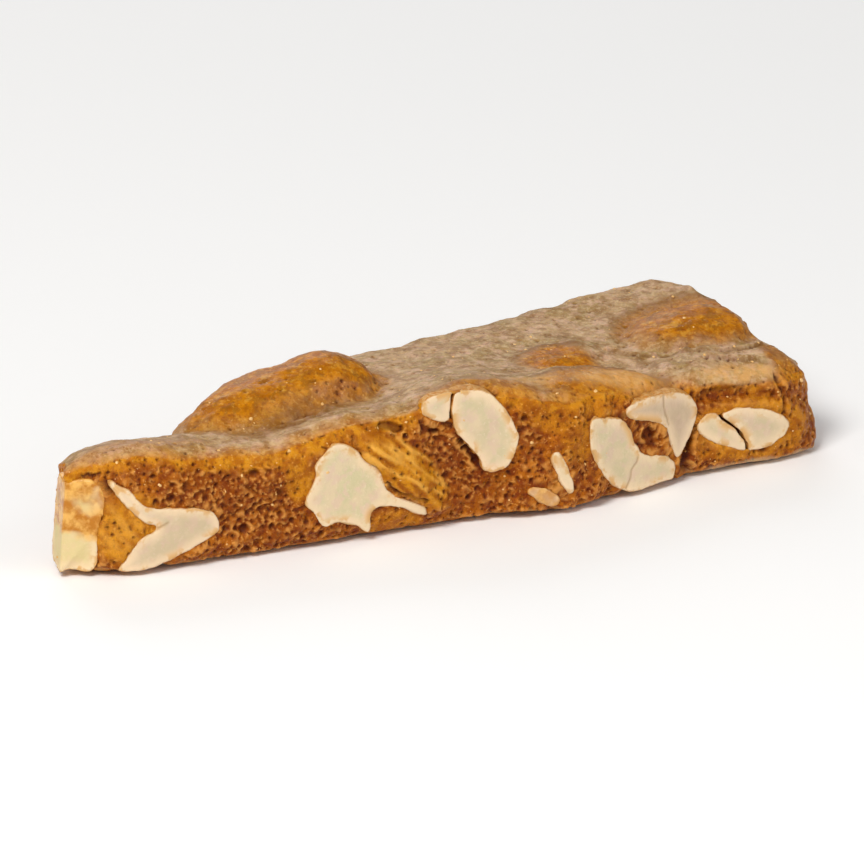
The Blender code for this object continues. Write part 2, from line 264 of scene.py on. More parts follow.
# pitShade is the dark of the pits and also the painted shade laid into hollows
caramelColours = {
    "tan": (186, 150, 108), "tanOlive": (164, 132, 82), "tanPink": (204, 164, 134),
    "tanPale": (214, 186, 146), "tanDeep": (138, 98, 52), "topPit": (92, 52, 18),
    "foot": (126, 80, 22), "bloom": (226, 172, 104),
    "thin": (192, 120, 6), "thinDeep": (162, 94, 4), "thinPale": (222, 162, 60),
    "amber": (176, 98, 12), "amberDeep": (126, 54, 4), "amberPale": (226, 158, 76),
    "gold": (208, 138, 22), "goldDeep": (176, 102, 8), "goldPale": (240, 178, 74),
    "pitShade": (72, 22, 3), "under": (188, 130, 62),
}


def caramelPaint():
    paint, tree, shader, place = newPaint("caramel")
    colour = {name: linear(*value) for name, value in caramelColours.items()}
    slow = grain(tree, place, 0.22, 4)
    middle = grain(tree, place, 0.95, 3)
    fine = grain(tree, place, 2.4, 3)
    finest = grain(tree, place, 6.5, 2)
    aside = addNode(tree, "ShaderNodeMapping", {"Vector": place, "Location": (31, 17, 5)}).outputs[0]
    other = grain(tree, aside, 0.6, 4, 0.6)
    cells = addNode(tree, "ShaderNodeTexVoronoi", {"Vector": place, "Scale": 1.1}).outputs["Distance"]
    broken, thin, gold = mask(tree, "broken"), mask(tree, "thin"), mask(tree, "gold")
    hollowShade, crestHighlight, foam = mask(tree, "hollowShade"), mask(tree, "crestHighlight"), mask(tree, "foam")

    blotch = grain(tree, aside, 0.5, 4, 0.65)
    top = mixed(tree, between(tree, slow, 0.4, 0.6), colour["tan"], colour["tanOlive"])
    top = mixed(tree, times(tree, between(tree, other, 0.47, 0.62), 0.8), top, colour["tanPink"])
    top = mixed(tree, times(tree, between(tree, blotch, 0.47, 0.66), 0.75), top, colour["tanDeep"])
    top = mixed(tree, times(tree, between(tree, middle, 0.5, 0.68), 0.6), top, colour["tanDeep"])
    top = mixed(tree, times(tree, between(tree, middle, 0.46, 0.34), 0.4), top, colour["tanPale"])
    top = mixed(tree, times(tree, between(tree, fine, 0.54, 0.66), 0.45), top, colour["tanPale"])
    top = mixed(tree, times(tree, between(tree, fine, 0.44, 0.34), 0.4), top, colour["tanDeep"])
    speck = times(tree, between(tree, cells, 0.16, 0.06), between(tree, middle, 0.4, 0.6))
    top = mixed(tree, times(tree, speck, 0.7), top, colour["topPit"])
    top = mixed(tree, times(tree, mask(tree, "foot"), 0.9), top, colour["foot"])

    skin = mixed(tree, between(tree, middle, 0.36, 0.64), colour["thin"], colour["thinDeep"])
    skin = mixed(tree, times(tree, between(tree, other, 0.48, 0.6), 0.55), skin, colour["foot"])
    skin = mixed(tree, times(tree, between(tree, blotch, 0.54, 0.66), 0.5), skin, colour["thinPale"])
    skin = mixed(tree, times(tree, between(tree, fine, 0.56, 0.72), 0.5), skin, colour["thinPale"])
    skin = mixed(tree, times(tree, between(tree, fine, 0.42, 0.34), 0.45), skin, colour["amberDeep"])
    top = mixed(tree, thin, top, skin)

    inside = mixed(tree, between(tree, middle, 0.36, 0.64), colour["amber"], colour["amberDeep"])
    inside = mixed(tree, times(tree, foam, 0.6), inside, colour["amberDeep"])
    inside = mixed(tree, times(tree, between(tree, fine, 0.44, 0.32), 0.6), inside, colour["pitShade"])
    inside = mixed(tree, times(tree, between(tree, fine, 0.58, 0.7), 0.6), inside, colour["amberPale"])
    # painted highlight on the raised walls between the bubbles
    inside = mixed(tree, times(tree, crestHighlight, 0.7), inside, colour["amberPale"])
    ripe = mixed(tree, between(tree, middle, 0.36, 0.64), colour["gold"], colour["goldDeep"])
    ripe = mixed(tree, times(tree, between(tree, fine, 0.56, 0.74), 0.6), ripe, colour["thinPale"])
    ripe = mixed(tree, times(tree, between(tree, fine, 0.42, 0.32), 0.5), ripe, colour["amberDeep"])
    # pale gold on the raised streaks, their own colour and painted highlight, with a painted glow
    ripe = mixed(tree, times(tree, mask(tree, "streak"), 0.8), ripe, colour["goldPale"])
    # painted shade in the furrows between the streaks
    ripe = mixed(tree, times(tree, mask(tree, "furrowShade"), 0.5), ripe, colour["amberDeep"])
    inside = mixed(tree, times(tree, gold, 0.9), inside, ripe)
    both = mixed(tree, broken, top, inside)
    both = mixed(tree, times(tree, mask(tree, "brow"), 0.85), both, ripe)
    # paler skin with a painted highlight where the ridges along the front look up
    sheenShare = times(tree, mask(tree, "bloom"), between(tree, middle, 0.35, 0.6, 0.35, 0.8))
    both = mixed(tree, sheenShare, both, colour["bloom"])
    # painted shade in the dents, grooves, open cracks and creases
    both = mixed(tree, times(tree, hollowShade, 0.92), both, colour["pitShade"])
    below = mixed(tree, between(tree, blotch, 0.4, 0.62), colour["under"], colour["amber"])
    below = mixed(tree, times(tree, between(tree, fine, 0.44, 0.34), 0.5), below, colour["amberDeep"])
    # painted shade in the dents of the underside
    below = mixed(tree, times(tree, hollowShade, 0.7), below, colour["amberDeep"])
    both = mixed(tree, mask(tree, "under"), both, below)
    both = mixed(tree, times(tree, mask(tree, "lip"), 0.6), both, colour["tanPale"])
    tree.links.new(both, shader.inputs["Base Color"])

    dull = between(tree, fine, 0.3, 0.75, 0.42, 0.62)
    dull = addNode(tree, "ShaderNodeMix", {0: thin, 2: dull, 3: 0.36}).outputs[0]
    shiny = between(tree, finest, 0.35, 0.7, 0.24, 0.5)
    dull = addNode(tree, "ShaderNodeMix", {0: broken, 2: dull, 3: shiny}).outputs[0]
    tree.links.new(dull, shader.inputs["Roughness"])
    shader.inputs["Specular IOR Level"].default_value = 0.11

    height = addNode(tree, "ShaderNodeMix", {0: broken, 2: fine, 3: finest}).outputs[0]
    bump = addNode(tree, "ShaderNodeBump", {"Height": height, "Strength": 0.7, "Distance": 0.14 * mm})
    tree.links.new(bump.outputs[0], shader.inputs["Normal"])
    shader.inputs["Subsurface Weight"].default_value = 0.1
    shader.inputs["Subsurface Radius"].default_value = (1.0, 0.4, 0.1)
    shader.inputs["Subsurface Scale"].default_value = 1.0 * mm
    return paint


kernelColours = {
    "heart": (222, 202, 164), "heartGreen": (208, 198, 154), "heartPink": (222, 194, 168),
    "pale": (236, 220, 188), "shade": (198, 170, 142), "butter": (222, 198, 132),
    "rim": (240, 212, 174), "stain": (214, 164, 98), "skin": (206, 158, 92), "crack": (156, 116, 72),
    "glaze": (230, 176, 90), "glazeDeep": (186, 116, 26),
}


def kernelPaint():
    paint, tree, shader, place = newPaint("kernel")
    colour = {name: linear(*value) for name, value in kernelColours.items()}
    slow = grain(tree, place, 0.5, 3)
    fine = grain(tree, place, 3.0, 3)
    cut, rim = mask(tree, "cutFace"), mask(tree, "rim")
    crack, glaze = mask(tree, "crack"), mask(tree, "glaze")

    aside = addNode(tree, "ShaderNodeMapping", {"Vector": place, "Location": (13, 29, 7)}).outputs[0]
    pink = times(tree, between(tree, grain(tree, aside, 0.7, 3), 0.48, 0.62), 0.8)
    flesh = mixed(tree, between(tree, slow, 0.36, 0.62), colour["heart"], colour["heartGreen"])
    flesh = mixed(tree, pink, flesh, colour["heartPink"])
    flesh = mixed(tree, times(tree, between(tree, fine, 0.55, 0.72), 0.5), flesh, colour["pale"])
    shaded = times(tree, mask(tree, "shade"), between(tree, slow, 0.3, 0.7, 0.7, 1))
    flesh = mixed(tree, shaded, flesh, colour["shade"])
    flesh = mixed(tree, times(tree, mask(tree, "butter"), 0.6), flesh, colour["butter"])
    flesh = mixed(tree, times(tree, rim, 0.75), flesh, colour["rim"])
    edge = times(tree, times(tree, rim, rim), between(tree, slow, 0.48, 0.58))
    flesh = mixed(tree, edge, flesh, colour["stain"])
    flesh = mixed(tree, times(tree, crack, 0.6), flesh, colour["crack"])
    outside = mixed(tree, between(tree, fine, 0.35, 0.7), colour["skin"], colour["glazeDeep"])
    whole = mixed(tree, cut, outside, flesh)
    drops = between(tree, grain(tree, place, 0.8, 4), 0.36, 0.62)
    coat = mixed(tree, drops, colour["glaze"], colour["glazeDeep"])
    whole = mixed(tree, glaze, whole, coat)
    tree.links.new(whole, shader.inputs["Base Color"])

    dull = between(tree, fine, 0.3, 0.7, 0.5, 0.68)
    dull = addNode(tree, "ShaderNodeMix", {0: glaze, 2: dull, 3: 0.24}).outputs[0]
    tree.links.new(dull, shader.inputs["Roughness"])
    bump = addNode(tree, "ShaderNodeBump", {"Height": fine, "Strength": 0.45, "Distance": 0.1 * mm})
    tree.links.new(bump.outputs[0], shader.inputs["Normal"])
    shader.inputs["Specular IOR Level"].default_value = 0.3
    shader.inputs["Subsurface Weight"].default_value = 0.12
    shader.inputs["Subsurface Radius"].default_value = (1.0, 0.75, 0.45)
    shader.inputs["Subsurface Scale"].default_value = 0.8 * mm
    return paint


# the grains' pale colour is their own and also stands in for painted glints
sugarAndGlintColours = {"pale": (244, 206, 140), "deep": (216, 158, 78)}


def sugarPaint():
    paint, tree, shader, place = newPaint("glintingSugar")
    colour = {name: linear(*value) for name, value in sugarAndGlintColours.items()}
    shade = mixed(tree, grain(tree, place, 1.2), colour["pale"], colour["deep"])
    tree.links.new(shade, shader.inputs["Base Color"])
    rough = between(tree, grain(tree, place, 5.0), 0.3, 0.7, 0.12, 0.3)
    tree.links.new(rough, shader.inputs["Roughness"])
    return paint


# Sizes and depths are in mm.
kernelLook = {
    "cell": 0.17, "rounding": 4,
    "facing": (0.55, 0.85),  # how squarely the cut face looks out, from where to where it fades in
    "waveSize": 2.2, "waveDepth": 0.07,
    "grainSize": 0.5, "grainDepth": 0.025,
    "raggedSize": 1.1, "raggedDepth": 0.2,
    "wanderSize": 0.9, "wander": 0.25,  # how cracks and rims wander
    "crackDepth": 0.07, "crackHalf": 0.1,
    "rimWidth": 1.5, "rimCore": 0.1,
    # the low flake is glazed all over, in drops
    "flakeGlaze": 0.55, "flakeDrops": 0.4, "flakeDropSize": 0.9,
    # the corner kernel is glazed above this height, apart from a bare window that is also a painted
    # highlight, given as (x, z)
    "glazeFrom": (4.4, 5.6), "glazeTilt": 0.4,
    "highlightWindow": {"at": (1.5, 8.4), "half": (2.3, 1.8), "turn": 20, "strength": 0.7, "softness": 0.9},
    # two pieces of one kernel that broke apart, with an open crack between them
    "openCracks": [("nut_high_chip", "nut_high"), ("nut_right_chip", "nut_right")],
}
# The kernels, how deep their colour is, how buttery the corner one is, and the fine cracks of
# their cut faces as (x, z) lines.
kernels = {
    "nut_corner": {"name": "cornerKernel", "shade": 0.0, "butter": 1.0, "cracks": []},
    "nut_corner_pair": {"name": "cornerPairKernel", "shade": 0.6, "cracks": [[(8.6, 5.1), (9.9, 5.6)]]},
    "nut_star": {"name": "starKernel", "shade": 0.1, "cracks": []},
    "nut_high_chip": {"name": "highChipKernel", "shade": 0.3, "cracks": []},
    "nut_high": {"name": "highKernel", "shade": 0.35, "cracks": []},
    "nut_sliver": {"name": "sliverKernel", "shade": 0.3, "cracks": []},
    "nut_low_flake": {"name": "lowFlakeKernel", "shade": 1.0, "cracks": []},
    "nut_half_lower": {"name": "lowerHalfKernel", "shade": 0.3,
                       "cracks": [[(62.6, 1.2), (63.3, 3.0), (64.1, 4.4)]]},
    "nut_half_upper": {"name": "upperHalfKernel", "shade": 0.9,
                       "cracks": [[(67.3, 10.4), (67.6, 8.6), (68.1, 7.0)]]},
    "nut_right_chip": {"name": "rightChipKernel", "shade": 0.4, "cracks": []},
    "nut_right": {"name": "rightKernel", "shade": 0.5, "cracks": []},
    "nut_back_left": {"name": "backLeftKernel", "shade": 0.3, "cracks": []},
    "nut_back_middle": {"name": "backMiddleKernel", "shade": 0.5, "cracks": []},
    "nut_back_right": {"name": "backRightKernel", "shade": 0.2, "cracks": []},
}


def cutWays(node):
    # which ways a kernel's cut faces look: out of the front break, the back one or the left end
    if node == "nut_corner":
        return [np.array((0.0, -1.0, 0.0)), np.array((-1.0, 0.0, 0.0))]
    return [np.array((0.0, 1.0 if "back" in node else -1.0, 0.0))]


def makeKernel(node, plan, paint):
    mesh = remeshed(mergedCopy(node), kernelLook["cell"])
    points, links = readPoints(mesh), readLinks(mesh)
    points = rounded(points, links, kernelLook["rounding"])
    writePoints(mesh, points)
    normals = readNormals(mesh)
    cut = np.max([ease(normals @ way, *kernelLook["facing"]) for way in cutWays(node)], axis=0)

    sidePoints = points[cut < 0.3]
    sides = kdtree.KDTree(len(sidePoints))
    for index, point in enumerate(sidePoints):
        sides.insert(point, index)
    sides.balance()
    toRim = np.array([sides.find(point)[2] for point in points])

    crack = np.zeros(len(points))
    wander = kernelLook["wander"] * blobs(points, kernelLook["wanderSize"], 3)
    for line in plan["cracks"]:
        near = lineNearness(points[:, 0] + wander, points[:, 2], line, 2 * kernelLook["crackHalf"])
        crack = np.maximum(crack, ease(near, 0, 1))
    crack *= cut

    wave = kernelLook["waveDepth"] * blobs(points, kernelLook["waveSize"], 1)
    wave += kernelLook["grainDepth"] * blobs(points, kernelLook["grainSize"], 2)
    push = wave - kernelLook["crackDepth"] * crack
    ragged = blobs(points * (1, 0, 1), kernelLook["raggedSize"], 7)
    push += kernelLook["raggedDepth"] * ragged * (1 - cut)
    points += normals * push[:, None]
    writePoints(mesh, points)

    glaze = np.zeros(len(points))
    if node == "nut_low_flake":
        drops = blobs(points, kernelLook["flakeDropSize"], 8)
        glaze += kernelLook["flakeGlaze"] + kernelLook["flakeDrops"] * drops
    if node == "nut_corner":
        ragged = 0.9 * blobs(points, 1.5, 5) + 0.6 * blobs(points, 0.7, 6)
        height = points[:, 2] + kernelLook["glazeTilt"] * points[:, 0]
        glaze = ease(height + ragged, *kernelLook["glazeFrom"])
        # a bare window in the glaze, paler as a painted highlight
        highlightWindow = kernelLook["highlightWindow"]
        glaze -= spotMask([highlightWindow], points[:, 0] + ragged, points[:, 2] + ragged, highlightWindow["softness"])
    writeMask(mesh, "cutFace", cut)
    rim = ease(toRim + 0.3 * wander, kernelLook["rimWidth"], kernelLook["rimCore"])
    writeMask(mesh, "rim", rim * cut)
    writeMask(mesh, "butter", np.full(len(points), plan.get("butter", 0.0)))
    writeMask(mesh, "crack", crack)
    writeMask(mesh, "glaze", glaze)
    writeMask(mesh, "shade", np.full(len(points), plan["shade"]))
    return addPiece(plan["name"], mesh, paint, node)


# Sizes and depths are in mm. Spots are ovals with a middle, half sizes, a turn, and how clearly
# they show. Those of the front break are given as (x, z), and those of the poured top as (x, y).
slabLook = {
    "cell": 0.2, "quickCell": 0.34, "triangles": 190000,
    "rounding": 9, "normalRounding": 6, "dentRounding": 8,
    "flatBelow": 0.08,  # the underside starts out flat
    "cragSize": 2.2, "cragDepth": 0.34,
    "grainSize": 0.62, "grainDepth": 0.15,
    "streakLength": 3.2, "streakWidth": 0.55, "streakDepth": 0.16, "streakTurn": -42,
    "chipSize": 1.2, "edgeChips": 0.45, "chipFrom": 0.05,
    "topWaveSize": 2.4, "topWaveDepth": 0.2,
    "topGrainSize": 0.7, "topGrainDepth": 0.07,
    "trayWaveSize": 4.5, "trayWaveDepth": 0.35,
    "wanderSize": 2.2, "wander": 0.7,  # how the borders between colours wander
    "clusterSize": 2.4, "patchSize": 5.0,
    "rippleSize": 1.2, "ripple": 0.12,  # how the border of the top wanders
    "raggedSize": 0.8, "ragged": 0.25,  # how the borders of the grooves wander
    "crustDepth": 2.4, "crustCore": 0.9, "browWidth": 3.4,
    "creaseDepth": 0.12, "crackDepth": 1.1, "crackReach": 0.4,
    # the pockets are filled by copies of the kernels, grown sideways and held back at the face
    "plugGrowth": 0.42, "plugRecess": 0.12,
    # the caramel nearer to a kernel than "drawn" is drawn onto it, and a little way into it
    "reach": 1.6, "drawn": 0.75, "drawnEase": 0.3, "overlap": 0.06,
    "insideBox": 0.01,  # how far the caramel stays within the box of the solids
    # orange places of the poured top, where a kernel lies just under a thin skin
    "thinSpots": [
        {"at": (26.8, 9.9), "half": (14.0, 9.4), "turn": 8, "strength": 1.0},
        {"at": (33.0, 10.0), "half": (8.4, 8.0), "turn": 8, "strength": 1.0},
        {"at": (78.6, 15.8), "half": (10.4, 7.6), "turn": 10, "strength": 1.0},
        {"at": (61.5, 0.4), "half": (9.6, 4.6), "turn": 10, "strength": 0.9},
        {"at": (60.0, 9.0), "half": (5.4, 4.6), "turn": 20, "strength": 1.0},
        {"at": (46.5, -2.0), "half": (8.0, 2.6), "turn": 0, "strength": 0.5},
        {"at": (9.0, 0.4), "half": (9.0, 1.6), "turn": 0, "strength": 0.35},
        {"at": (83.6, 4.0), "half": (2.6, 4.0), "turn": 0, "strength": 0.8},
    ],
    # where that skin is olive brown, on the near side of the left lump
    "dripSpot": {"at": (27.0, 2.8), "half": (11.0, 3.2), "turn": 10, "strength": 0.8},
    # where it is paler where it looks up, its own paler skin with a painted highlight on it
    "bloomSpots": [
        {"at": (63.0, 1.0), "half": (7.0, 2.8), "turn": 6, "strength": 1.0},
        {"at": (53.0, 0.6), "half": (5.0, 2.0), "turn": 10, "strength": 0.7},
        {"at": (77.4, 2.0), "half": (6.4, 1.7), "turn": 0, "strength": 0.9},
    ],
    # smooth amber swellings of the front break, where there are hardly any bubbles, the brightest
    # one, whose glow is painted, and the one that was pulled into streaks
    "smoothSpots": [
        {"at": (36.6, 7.6), "half": (8.0, 2.9), "turn": -42, "strength": 1.0},
        {"at": (78.6, 4.4), "half": (8.4, 4.4), "turn": -4, "strength": 0.7},
        {"at": (5.4, 5.4), "half": (4.4, 4.6), "turn": 0, "strength": 0.9},
        {"at": (24.6, 8.4), "half": (1.8, 3.2), "turn": 10, "strength": 0.8},
        {"at": (55.5, 10.6), "half": (6.5, 1.8), "turn": -6, "strength": 0.5},
        {"at": (56.8, 8.0), "half": (2.6, 3.0), "turn": -20, "strength": 0.5},
        {"at": (35.6, 1.6), "half": (4.0, 1.8), "turn": -10, "strength": 0.7},
    ],
    "glowSpot": {"at": (4.6, 6.0), "half": (3.2, 4.8), "turn": -20, "strength": 0.6},
    "streakySpot": {"at": (36.8, 7.4), "half": (8.6, 3.6), "turn": -42, "strength": 1.0},
    # the darkest and most open foam of the front break
    "foamSpots": [
        {"at": (16.5, 8.0), "half": (9.5, 3.8), "turn": -6, "strength": 1.0},
        {"at": (20.6, 4.0), "half": (6.5, 4.6), "turn": 0, "strength": 0.7},
        {"at": (42.6, 7.4), "half": (4.6, 6.4), "turn": -20, "strength": 1.0},
        {"at": (46.6, 2.8), "half": (3.4, 2.4), "turn": 0, "strength": 0.7},
        {"at": (50.6, 9.6), "half": (1.7, 2.6), "turn": 0, "strength": 1.0},
        {"at": (56.6, 4.4), "half": (2.4, 3.4), "turn": 0, "strength": 0.6},
        {"at": (65.5, 6.2), "half": (2.6, 2.6), "turn": 0, "strength": 1.0},
        {"at": (76.2, 8.6), "half": (4.6, 1.2), "turn": -6, "strength": 0.4},
        {"at": (37.6, 12.4), "half": (4.6, 1.5), "turn": -12, "strength": 0.9},
    ],
    # patches of tiny bubbles on the poured top
    "frothSpots": [
        {"at": (71.6, 8.2), "half": (4.6, 3.8), "turn": 10, "strength": 1.0},
        {"at": (55.8, 4.8), "half": (4.4, 3.0), "turn": 10, "strength": 0.7},
        {"at": (18.0, 3.0), "half": (7.0, 2.0), "turn": 0, "strength": 0.5},
    ],
    # bubbles: how many on a square millimetre at most, their radii, and how far out they sit
    "bubbles": {
        "large": {"crowd": 0.11, "radius": (0.45, 0.75), "lift": 0.25, "seed": 11},
        "middle": {"crowd": 0.75, "radius": (0.26, 0.42), "lift": 0.15, "seed": 12},
        "small": {"crowd": 2.4, "radius": (0.18, 0.26), "lift": 0.05, "seed": 13},
        "topPits": {"crowd": 0.3, "radius": (0.18, 0.36), "lift": 0.45, "seed": 21},
        "froth": {"crowd": 0.7, "radius": (0.20, 0.34), "lift": 0.5, "seed": 22},
        "underside": {"crowd": 0.3, "radius": (0.5, 1.5), "lift": 0.78, "seed": 23},
    },
    # grooves and holes of the front break as lines through (x, z, half width), how deep they go,
    # and how dark the painted shade in them is
    "frontGrooves": [
        {"line": [(71.3, 6.4, 0.4), (71.0, 4.8, 0.8), (70.5, 3.0, 1.2), (70.1, 1.5, 1.5),
                  (69.9, 0, 1.7)],
         "depth": 1.1, "dark": 1.0},
        {"line": [(72.8, 8.9, 1.0), (76.8, 8.8, 1.3), (80.8, 8.0, 0.9)], "depth": 0.5, "dark": 0.12},
        {"line": [(73.4, 9.3, 0.4), (75.4, 9.1, 0.3), (77.6, 9.3, 0.4)], "depth": 0.4, "dark": 0.5},
        {"line": [(81.6, 9.6, 0.5), (82.4, 7.6, 0.6), (82.2, 5.8, 0.5)], "depth": 0.4, "dark": 0.3},
        {"line": [(34.2, 12.5, 0.5), (35.4, 12.4, 0.45), (36.4, 12.0, 0.5)],
         "depth": 0.45, "dark": 0.7},
        {"line": [(34.4, 6.3, 0.3), (36.6, 4.8, 0.4), (39.2, 3.6, 0.3)], "depth": 0.4, "dark": 0.45},
        {"line": [(38.8, 11.6, 0.7), (40.6, 11.0, 0.6)], "depth": 0.4, "dark": 0.5},
        {"line": [(43.2, 9.6, 0.4), (45.4, 6.6, 0.5)], "depth": 0.6, "dark": 0.8},
        {"line": [(65.4, 6.4, 1.1), (65.9, 5.6, 1.0)], "depth": 0.7, "dark": 0.5},
        {"line": [(1.2, 11.4, 0.3), (2.8, 11.5, 0.3)], "depth": 0.4, "dark": 0.7},
    ],
    # folds of the skin of the poured top as lines through (x, y), raised beside a fine crease
    # that holds painted shade
    "topFolds": [
        {"line": [(75.0, 5.2), (77.6, 4.4), (79.6, 4.2), (81.8, 2.8)], "half": 0.55, "rise": 0.4},
        {"line": [(74.2, 8.0), (76.6, 6.8), (79.8, 6.6), (82.4, 7.4)], "half": 0.55, "rise": 0.35},
        {"line": [(66.6, 11.6), (70.8, 9.6), (73.8, 8.2), (78.4, 8.6)], "half": 0.6, "rise": 0.3},
        {"line": [(24.4, 2.0), (27.2, 1.0), (30.2, 2.0), (31.0, 3.6)], "half": 0.45, "rise": 0.22},
        {"line": [(52.6, 6.2), (57.0, 4.8), (61.6, 5.4), (66.4, 4.4)], "half": 0.5, "rise": 0.18},
    ],
    # where the skin of the top hangs over the recess above the right kernels, as (x, z)
    "overhang": {"at": (76.8, 10.0), "half": (5.6, 3.0), "turn": 0, "strength": 1.0},
    "crater": {"at": (28.2, 2.6), "half": (1.7, 1.1), "turn": 0, "strength": 1, "depth": 0.55},
    # from what value to what value each border of the surface fades in
    "fades": {
        "clear": (0.1, 0.7),  # mm from a kernel, where the relief starts
        "front": (0.2, 0.5),  # how squarely the surface looks forwards
        "nearFront": (3.4, 2.4),  # mm behind the front break
        "steep": (0.34, 0.56), "steepInFront": (0.2, 0.4),  # how upright, where the top ends
        "belowEdge": (0.5, 1.1), "hanging": (1.4, 0.9),  # mm below the upper edge
        "turnedUnder": (0, 0.2), "under": (0.7, 0.85),  # how squarely the surface looks down
        "brow": (1.6, 0.6), "crustBehind": (4, 3),
        "foamBehind": (-0.3, 0.4), "goldHeight": (8.6, 11.0), "goldPatch": (-0.15, -0.4),
        "clusters": (-0.45, 0.35),
        "streak": (0.05, 0.4), "furrowShade": (-0.1, -0.45), "glow": (-0.5, 0.4),
        "bloomUp": (0.2, 0.5),
        "lipHeight": (1.1, 0.5), "lipFront": (0.1, 0.4), "lipStart": (70, 74),
        "dent": (0.03, 0.18), "dentClear": (0.1, 0.4),
        "trayDent": (0.01, 0.08), "crestHighlight": (0.03, 0.14),
        "openCrack": (0.62, 0.42),
    },
}


def pressBubbles(points, normals, chance, look):
    # how deep each point is pushed in by round bubbles scattered where chance is high
    dice = random.Random(look["seed"])
    tree = kdtree.KDTree(len(points))
    for index, point in enumerate(points):
        tree.insert(point, index)
    tree.balance()
    depth = np.zeros(len(points))
    area = slabLook["cell"] ** 2
    running = np.cumsum(chance)
    count = int(running[-1] * area * look["crowd"])
    for pick in range(count):
        index = int(np.searchsorted(running, dice.random() * running[-1]))
        radius = dice.uniform(*look["radius"])
        centre = points[index] + normals[index] * radius * look["lift"]
        for place, near, distance in tree.find_range(centre, radius):
            away = points[near] - centre
            below = float(away @ normals[near])
            beside = max(0.0, distance ** 2 - below ** 2)
            depth[near] = max(depth[near], math.sqrt(max(0.0, radius ** 2 - beside)) + below)
    return depth


def plug(node):
    # a copy of a kernel that fills its pocket, up to just behind the cut face
    mesh = mergedCopy(node)
    points, normals = readPoints(mesh), readNormals(mesh)
    sideways = normals.copy()
    for way in cutWays(node):
        cut = normals @ way > 0.5
        sideways[cut] -= np.outer(sideways[cut] @ way, way)
        points[cut] -= way * slabLook["plugRecess"]
    sideways /= np.maximum(np.linalg.norm(sideways, axis=1), 0.3)[:, None]
    writePoints(mesh, points + sideways * slabLook["plugGrowth"])
    return mesh


def filledSlab():
    shape = bmesh.new()
    for mesh in [mergedCopy("brittle_slab")] + [plug(node) for node in kernels]:
        shape.from_mesh(mesh)
    whole = bpy.data.meshes.new("slabFilled")
    shape.to_mesh(whole)
    shape.free()
    return whole


def surfaceOf(pieces):
    shape = bmesh.new()
    for piece in pieces:
        shape.from_mesh(piece.data)
    surface = BVHTree.FromBMesh(shape)
    shape.free()
    return surface


def crackMask(points, gap, kernelPieces):
    # 1 in the open cracks between two pieces of one kernel
    mask = np.zeros(len(points))
    for pair in kernelLook["openCracks"]:
        first, second = [surfaceOf([kernelPieces[node]]) for node in pair]
        for index in np.flatnonzero(gap < slabLook["crackReach"]):
            place = Vector((points[index] + planCorner) * mm)
            across = first.find_nearest(place)[3] + second.find_nearest(place)[3]
            mask[index] = max(mask[index], ease(across / mm, *slabLook["fades"]["openCrack"]))
    return mask


def closeOnKernels(points, kernelPieces):
    # draws the slab's surface onto the kernels, and gives each point's distance from them
    skin = surfaceOf(kernelPieces.values())
    farAway = 9.0
    gap = np.full(len(points), farAway)
    drawn = points.copy()
    for index, point in enumerate(points):
        place = Vector((point + planCorner) * mm)
        found, normal, face, distance = skin.find_nearest(place, slabLook["reach"] * mm)
        if found is None:
            continue
        gap[index] = distance / mm
        if gap[index] < slabLook["drawn"]:
            target = np.array(found) / mm - planCorner - np.array(normal) * slabLook["overlap"]
            share = (slabLook["drawn"] - gap[index]) / slabLook["drawnEase"]
            drawn[index] += (target - point) * min(1.0, share)
    return drawn, gap


def streaks(points):
    # long thin waves that run down along the amber swelling of the front break
    turn = math.radians(slabLook["streakTurn"])
    along = points[:, 0] * math.cos(turn) + points[:, 2] * math.sin(turn)
    across = points[:, 2] * math.cos(turn) - points[:, 0] * math.sin(turn)
    flat = np.stack((along / slabLook["streakLength"], across / slabLook["streakWidth"], 0 * along), 1)
    return blobs(flat, 1, 16)


def fromFrontEdge(points, soft):
    # how far each point lies behind the front break, and how far below its upper edge, which are
    # measured in columns of 1 mm along the break
    x, y, z = points.T
    columns, start, farAway = 100, 4, 99.0
    column = np.clip(x + start, 0, columns - 1).astype(int)
    middles = np.arange(columns) + 0.5

    def measured(values, empty):
        kept = np.flatnonzero(values != empty)
        values = np.interp(np.arange(columns), kept, values[kept])
        evened = np.convolve(np.pad(values, 1, "edge"), (0.25, 0.5, 0.25), "valid")
        return np.interp(x + start, middles, evened)

    line, edge = np.full(columns, farAway), np.zeros(columns)
    middleHeights = (z > 3) & (z < 9)
    np.minimum.at(line, column, np.where(middleHeights, y, farAway))
    behind = y - measured(line, farAway)
    frontFace = (behind < 2.5) & (soft[:, 1] < -0.35)
    np.maximum.at(edge, column, np.where(frontFace, z, 0))
    return behind, measured(edge, 0) - z


def surfaceAreas(points, soft, gap):
    # which area of the slab each point belongs to: broken face, poured top or underside
    fades, area = slabLook["fades"], SimpleNamespace()
    x, z = points[:, 0], points[:, 2]
    area.free = ease(gap, *fades["clear"])
    area.front = ease(-soft[:, 1], *fades["front"])
    area.wander = slabLook["wander"] * blobs(points, slabLook["wanderSize"], 6)
    area.behind, area.below = fromFrontEdge(points, soft)
    area.hangs = spotMask([slabLook["overhang"]], x, z)
    atFront = ease(area.behind, *fades["nearFront"])
    ripple = slabLook["ripple"] * blobs(points, slabLook["rippleSize"], 4)
    upright = 1 - np.abs(soft[:, 2]) + ripple
    steepInFront = ease(upright, *fades["steepInFront"]) * area.front * atFront
    broken = np.maximum(ease(upright, *fades["steep"]), steepInFront)
    broken = np.maximum(broken, ease(area.below + 0.4 * area.wander, *fades["belowEdge"]) * atFront)
    broken *= 1 - area.hangs * ease(area.below, *fades["hanging"])
    broken = np.maximum(broken, ease(-soft[:, 2], *fades["turnedUnder"]))
    area.under = ease(-soft[:, 2], *fades["under"])
    area.broken = broken * (1 - area.under)
    area.top = np.clip(1 - area.broken - area.under, 0, 1)
    return area


